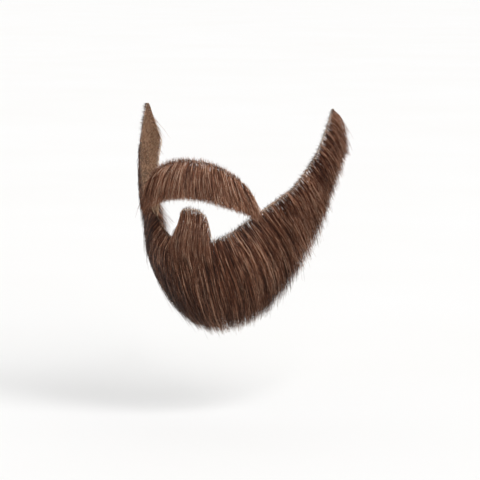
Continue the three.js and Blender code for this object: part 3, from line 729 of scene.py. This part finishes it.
def laceOutline(step):
    # turn and run of points along the lace's edges, with the mouth opening's, and of its sharp corners
    turn = np.arange(-laceForm["beardEnd"], laceForm["beardEnd"] + step, step)
    side = np.abs(turn)
    corner, end = laceForm["mouthCorner"], laceForm["moustacheEnd"]
    (low, high), (upperLow, upperHigh) = laceFields(turn)
    wide, joined = high > low, (side > corner) & (side < end)
    edges = [(low, wide), (high, wide & ~joined), (upperLow, side < corner), (upperHigh, side < end)]
    outline = np.concatenate([np.stack([turn[keep], edge[keep]], -1) for edge, keep in edges])
    peak, last = np.argmax(np.where(turn > 0, high, 0)), np.flatnonzero(wide)[-1]
    corners = [(sign * turn[k], high[k]) for k in (peak, last) for sign in (1, -1)]
    return outline, np.array(corners)


def laceSheet(look):
    # rows of three-cornered cells, each row half a cell on from the last, with edges moved onto the outline
    flat = np.array([look["millimetresPerTurn"], 1])
    step, rise = look["pitch"] / flat[0], look["pitch"] * math.sqrt(0.75)
    runs = np.arange(look["lowest"], look["highest"], rise)
    odd = np.arange(len(runs)) % 2
    count = int(2 * laceForm["beardEnd"] / step)
    turn = -laceForm["beardEnd"] + (np.arange(count)[:, None] + 0.5 * odd) * step
    places = np.stack([turn, np.broadcast_to(runs, turn.shape)], -1)
    outline, corners = laceOutline(look["outlineStep"])
    finder = KDTree(len(outline))
    for k, spot in enumerate(outline * flat):
        finder.insert((*spot, 0), k)
    finder.balance()
    found = [finder.find((*spot, 0)) for spot in places.reshape(-1, 2) * flat]
    nearest = outline[[k for _, k, _ in found]].reshape(places.shape)
    away = np.array([distance for _, _, distance in found]).reshape(turn.shape)
    inside = away < look["pitch"] * look["edgeShare"]
    for low, high in laceFields(turn):
        inside |= (places[..., 1] >= low) & (places[..., 1] <= high)
    number = np.arange(inside.size).reshape(inside.shape)
    faces = []
    for j in range(len(runs) - 1):
        for i in range(1, count - 1):
            c = i + odd[j]
            for cell in (((i, j), (i + 1, j), (c, j + 1)), ((i, j), (c, j + 1), (c - 1, j + 1))):
                if all(inside[spot] for spot in cell):
                    faces.append([int(number[spot]) for spot in cell])
    faces = np.array(faces)
    rims, uses = np.unique(np.sort(faces[:, [0, 1, 1, 2, 2, 0]].reshape(-1, 2)), axis=0, return_counts=True)
    rim = np.unique(rims[uses == 1])
    places, nearest = places.reshape(-1, 2), nearest.reshape(-1, 2)
    places[rim] = nearest[rim]
    for corner in corners:
        places[rim[np.argmin(np.linalg.norm((places[rim] - corner) * flat, axis=1))]] = corner
    a, b, c = (places[faces[:, k]] * flat for k in range(3))
    area = ((b - a)[:, 0] * (c - a)[:, 1] - (b - a)[:, 1] * (c - a)[:, 0]) / 2
    faces = faces[area > look["thinCell"] * look["pitch"] * rise / 2]
    used, faces = np.unique(faces, return_inverse=True)
    turn, run = places[used].T
    corners = toMetres(liftedPoint(turn, run, np.full_like(run, look["lift"])))
    mesh = bpy.data.meshes.new("lace_sheet")
    mesh.from_pydata(corners.tolist(), [], faces.reshape(-1, 3).tolist())
    sheet = bpy.data.objects.new("lace_sheet", mesh)
    bpy.context.collection.objects.link(sheet)
    return sheet


def netTree(look):
    inputs = [("Sheet", "Geometry"), ("Thread", "Float"), ("Edge", "Float"), ("Knot", "Float"),
              ("Material", "Material")]
    tree = newTree("knottedNet", inputs)
    given = addNode(tree, "NodeGroupInput").node.outputs
    cells = addNode(tree, "GeometryNodeDualMesh", {}, {"Mesh": given["Sheet"], "Keep Boundaries": True})
    threads = addNode(tree, "GeometryNodeMeshToCurve", {}, {"Mesh": cells})
    sides = addNode(tree, "GeometryNodeInputMeshEdgeNeighbors")
    onRim = addNode(tree, "FunctionNodeCompare", {"data_type": "INT", "operation": "EQUAL"},
                    {2: sides, 3: 1})
    rim = addNode(tree, "GeometryNodeMeshToCurve", {}, {"Mesh": given["Sheet"], "Selection": onRim})
    rim = addNode(tree, "GeometryNodeResampleCurve", {"mode": "LENGTH"},
                  {"Curve": rim, "Length": given["Knot"]})

    # every other point of the bound edge is a knot
    number = addNode(tree, "GeometryNodeInputIndex")
    knot = addNode(tree, "ShaderNodeMath", {"operation": "PINGPONG"}, {0: number, 1: 1.0})
    swell = addNode(tree, "ShaderNodeMath", timesPlus, {0: knot, 1: look["knotSwell"], 2: look["slim"]})
    rimGirth = addNode(tree, "ShaderNodeMath", times, {0: swell, 1: given["Edge"]})
    anyTone = addNode(tree, "FunctionNodeRandomValue", {}, {2: 0.0, 3: look["threadTones"], "Seed": 4}, 1)
    paleKnot = addNode(tree, "ShaderNodeMath", timesPlus,
                       {0: knot, 1: look["knotTone"], 2: look["edgeTone"]})
    made = []
    for curve, girth, sidesCount, chance in ((threads, given["Thread"], look["threadSides"], anyTone),
                                             (rim, rimGirth, look["edgeSides"], paleKnot)):
        factor = addNode(tree, "GeometryNodeSplineParameter")
        toned = addNode(tree, "GeometryNodeStoreNamedAttribute", numberOnPoints,
                        {"Geometry": curve, "Name": "tone", "Value": chance})
        toned = addNode(tree, "GeometryNodeStoreNamedAttribute", numberOnPoints,
                        {"Geometry": toned, "Name": "along", "Value": factor})
        ringFactor = addNode(tree, "GeometryNodeSplineParameter")
        ring = addNode(tree, "GeometryNodeCurvePrimitiveCircle", {},
                       {"Resolution": sidesCount, "Radius": 0.5})
        ring = addNode(tree, "GeometryNodeStoreNamedAttribute", numberOnPoints,
                       {"Geometry": ring, "Name": "ring", "Value": ringFactor})
        made.append(addNode(tree, "GeometryNodeCurveToMesh", {},
                            {"Curve": toned, "Profile Curve": ring, "Scale": girth, "Fill Caps": True}))
    both = addNode(tree, "GeometryNodeJoinGeometry")
    for part in made:
        tree.links.new(part, both.node.inputs[0])
    held = {}
    for label in ("ring", "tone", "along"):
        held[label] = addNode(tree, "GeometryNodeInputNamedAttribute", numbers, {"Name": label})
    across = addNode(tree, "ShaderNodeMath", timesPlus,
                     {0: held["ring"], 1: look["mapRing"], 2: held["tone"]})
    spot = addNode(tree, "ShaderNodeCombineXYZ", {}, {0: across, 1: held["along"]})
    mapped = addNode(tree, "GeometryNodeStoreNamedAttribute", mapOnCorners,
                     {"Geometry": both, "Name": "OFBake", "Value": spot})
    real = addNode(tree, "GeometryNodeRealizeInstances", {}, {"Geometry": mapped})
    dressed = addNode(tree, "GeometryNodeSetMaterial", {},
                      {"Geometry": real, "Material": given["Material"]})
    addNode(tree, "NodeGroupOutput", {}, {0: dressed})
    return tree


netValues = {"Thread": laceNet["thread"] / 1000, "Edge": laceNet["edgeThread"] / 1000,
             "Knot": laceNet["knotSpacing"] / 2 / 1000, "Material": laceMaterial(laceNet)}
lace = settle(laceSheet(laceNet), netTree(laceNet), netValues, "lace_net")
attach(lace, "root")
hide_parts("lace_base")
print("lace knotted")


# Pale studio, in metres: one wide floor below the piece, which is shown in the air as it is worn.
studio = {
    "floorDrop": 0.17, "floorSize": 40, "floor": "f4f3f1", "floorWorn": "f7f7f7", "floorRoughness": 0.95,
    "grainPerMetre": 3, "grainDetail": 2,
    "sky": "ffffff", "skyLight": 0.48, "skySeen": 0.97,
    "sun": 3.75, "sunSpread": 50, "sunFrom": (0.84, -0.52, 0.6),
}


# Matt white board with faint clouds, coarser than the piece so that no grain shows beside the hair.
def paleFloor(look):
    material = bpy.data.materials.new("matt white studio floor")
    material.use_nodes = True
    tree = material.node_tree
    shader = tree.nodes["Principled BSDF"]
    place = addNode(tree, "ShaderNodeTexCoord", {}, {}, "Object")
    grain = addNode(tree, "ShaderNodeTexNoise", {},
                    {"Vector": place, "Scale": look["grainPerMetre"], "Detail": look["grainDetail"]})
    tint = addNode(tree, "ShaderNodeMix", colours,
                   {0: grain, 6: toLinear(look["floor"]), 7: toLinear(look["floorWorn"])}, 2)
    tree.links.new(tint, shader.inputs["Base Color"])
    shader.inputs["Roughness"].default_value = look["floorRoughness"]
    mesh = bpy.data.meshes.new("floor")
    half, level = look["floorSize"] / 2, -look["floorDrop"]
    corners = [(-half, -half, level), (half, -half, level), (half, half, level), (-half, half, level)]
    mesh.from_pydata(corners, [], [(0, 1, 2, 3)])
    mesh.materials.append(material)
    floor = bpy.data.objects.new("floor", mesh)
    bpy.context.collection.objects.link(floor)


paleFloor(studio)
world = bpy.data.worlds.new("studio")
bpy.context.scene.world = world
world.use_nodes = True
sky = world.node_tree.nodes["Background"]
sky.inputs["Color"].default_value = toLinear(studio["sky"])
seen = addNode(world.node_tree, "ShaderNodeLightPath", {}, {}, "Is Camera Ray")
skyStrength = addNode(world.node_tree, "ShaderNodeMapRange", {},
                      {0: seen, 3: studio["skyLight"], 4: studio["skySeen"]})
world.node_tree.links.new(skyStrength, sky.inputs["Strength"])
sunData = bpy.data.lights.new("soft sun", "SUN")
sunData.energy = studio["sun"]
sunData.angle = math.radians(studio["sunSpread"])
sun = bpy.data.objects.new("soft sun", sunData)
sun.rotation_euler = Vector(studio["sunFrom"]).to_track_quat("Z", "Y").to_euler()
bpy.context.collection.objects.link(sun)
bpy.context.scene.view_settings.view_transform = "Standard"

# Camera at the photo's angle: turned to the wearer's left and a little above.
viewPoint = {"turn": 26, "rise": 7, "distance": 1500, "right": 33.4, "down": 27.8,
             "millimetresPerPixel": 0.655, "pixels": 480, "sensor": 36}


def photoCamera(look):
    turn, rise = math.radians(look["turn"]), math.radians(look["rise"])
    right = Vector((math.cos(turn), math.sin(turn), 0))
    back = Vector((math.sin(turn) * math.cos(rise), -math.cos(turn) * math.cos(rise), math.sin(rise)))
    up = back.cross(right)
    target = (right * look["right"] - up * look["down"] - Vector(seat.tolist())) / 1000
    data = bpy.data.cameras.new("camera")
    data.sensor_width = look["sensor"]
    data.lens = look["sensor"] * look["distance"] / (look["pixels"] * look["millimetresPerPixel"])
    camera = bpy.data.objects.new("camera", data)
    camera.matrix_world = Matrix.Translation(target + back * look["distance"] / 1000) @ Matrix(
        (right, up, back)).transposed().to_4x4()
    bpy.context.collection.objects.link(camera)
    bpy.context.scene.camera = camera


photoCamera(viewPoint)
